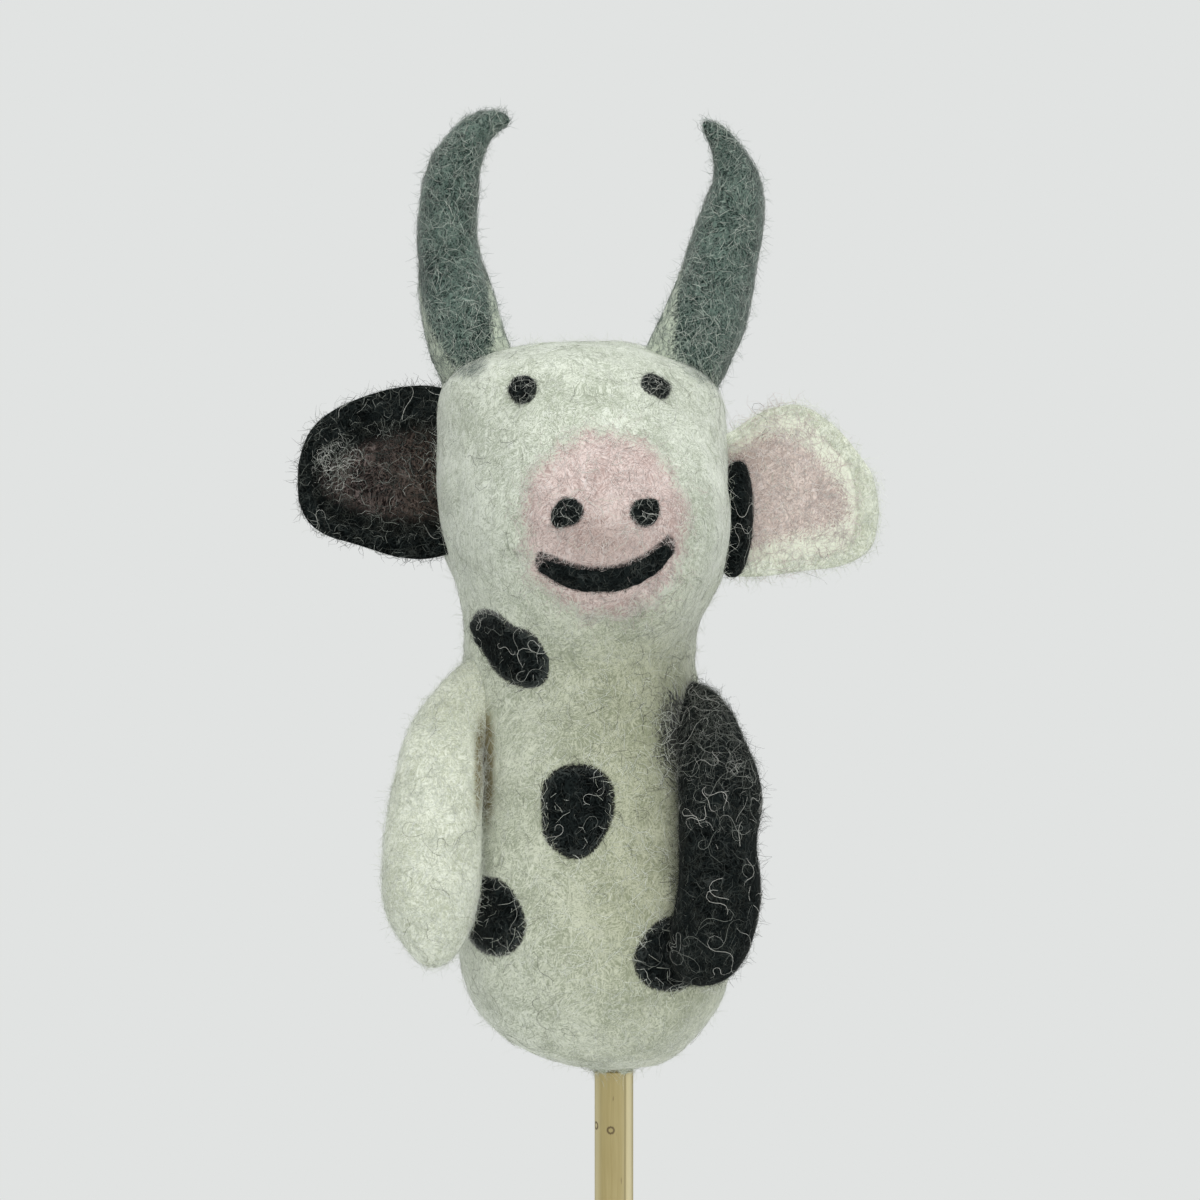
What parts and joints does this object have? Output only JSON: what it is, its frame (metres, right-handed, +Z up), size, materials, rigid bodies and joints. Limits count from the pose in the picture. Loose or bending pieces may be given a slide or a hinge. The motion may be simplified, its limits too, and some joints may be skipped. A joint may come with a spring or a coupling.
{
  "type": "felted stick puppet",
  "caption": "Small horned cow of felted wool on a round bamboo stick, with a turning and nodding head, bending ears and horns, and arms that swing out.",
  "frame": {"origin": "centre of the stick's lower end face", "axes": "+Z up along the stick, -Y out of the puppet's face, -X to the puppet's right"},
  "size_m": [0.0772, 0.0476, 0.2253],
  "materials": {
    "white_wool": "matt felted wool",
    "black_wool": "matt felted wool",
    "pink_wool": "matt felted wool",
    "grey_wool": "matt felted wool",
    "core_wool": "coarse core wool",
    "bamboo": "smooth, lightly oiled"
  },
  "bodies": {
    "stick": {"stick": "bamboo"},
    "tuft": {"stick_tuft": "white_wool"},
    "torso": {"torso_skin": "white_wool", "torso_core": "core_wool", "spot_chest": "black_wool", "spot_hip_right": "black_wool", "spot_hip_left": "black_wool", "spot_back_high": "black_wool", "spot_back_low": "black_wool"},
    "neck": {"neck_core": "core_wool", "spot_neck": "black_wool"},
    "head": {"head_skin": "white_wool", "head_core": "core_wool", "snout_patch": "pink_wool", "nostril_right": "black_wool", "nostril_left": "black_wool", "mouth": "black_wool", "eye_right": "black_wool", "eye_left": "black_wool", "spot_cheek": "black_wool", "spot_nape": "black_wool"},
    "ear_right": {"ear_right": "black_wool", "ear_right_lining": "pink_wool"},
    "ear_left": {"ear_left": "white_wool", "ear_left_lining": "pink_wool"},
    "horn_right": {"horn_right": "grey_wool"},
    "horn_left": {"horn_left": "grey_wool"},
    "arm_right": {"arm_right": "white_wool"},
    "arm_left": {"arm_left": "black_wool"}
  },
  "joints": [
    {"name": "lift_off_stick", "type": "slide", "parent": "stick", "child": "tuft", "axis": [0, 0, 1], "range_m": [0, 0.05]},
    {"name": "turn_on_stick", "type": "hinge", "parent": "tuft", "child": "torso", "pos_m": [0, 0, 0.1], "axis": [0, 0, 1], "continuous": true},
    {"name": "head_turn", "type": "hinge", "parent": "torso", "child": "neck", "pos_m": [-0.0044, 0, 0.15], "axis": [0, 0, 1], "range_deg": [-25, 25], "stiffness_Nm_per_rad": 0.03},
    {"name": "head_nod", "type": "hinge", "parent": "neck", "child": "head", "pos_m": [-0.0044, 0, 0.156], "axis": [1, 0, 0], "range_deg": [-15, 10], "stiffness_Nm_per_rad": 0.12},
    {"name": "ear_right_fold", "type": "hinge", "parent": "head", "child": "ear_right", "pos_m": [-0.0246, -0.002, 0.178], "axis": [0, 0, 1], "range_deg": [-35, 35], "stiffness_Nm_per_rad": 0.003},
    {"name": "ear_left_fold", "type": "hinge", "parent": "head", "child": "ear_left", "pos_m": [0.0164, -0.002, 0.1754], "axis": [0, 0, 1], "range_deg": [-35, 35], "stiffness_Nm_per_rad": 0.003},
    {"name": "horn_right_flex", "type": "hinge", "parent": "head", "child": "horn_right", "pos_m": [-0.0174, 0.001, 0.1906], "axis": [0, 1, 0], "range_deg": [-10, 10], "stiffness_Nm_per_rad": 0.01},
    {"name": "horn_left_flex", "type": "hinge", "parent": "head", "child": "horn_left", "pos_m": [0.008, 0.001, 0.19], "axis": [0, 1, 0], "range_deg": [-10, 10], "stiffness_Nm_per_rad": 0.01},
    {"name": "arm_right_swing", "type": "hinge", "parent": "torso", "child": "arm_right", "pos_m": [-0.017, -0.0106, 0.1464], "axis": [0, 1, 0], "range_deg": [0, 70], "stiffness_Nm_per_rad": 0.01},
    {"name": "arm_left_swing", "type": "hinge", "parent": "torso", "child": "arm_left", "pos_m": [0.0105, -0.012, 0.146], "axis": [0, -1, 0], "range_deg": [0, 70], "stiffness_Nm_per_rad": 0.01}
  ]
}
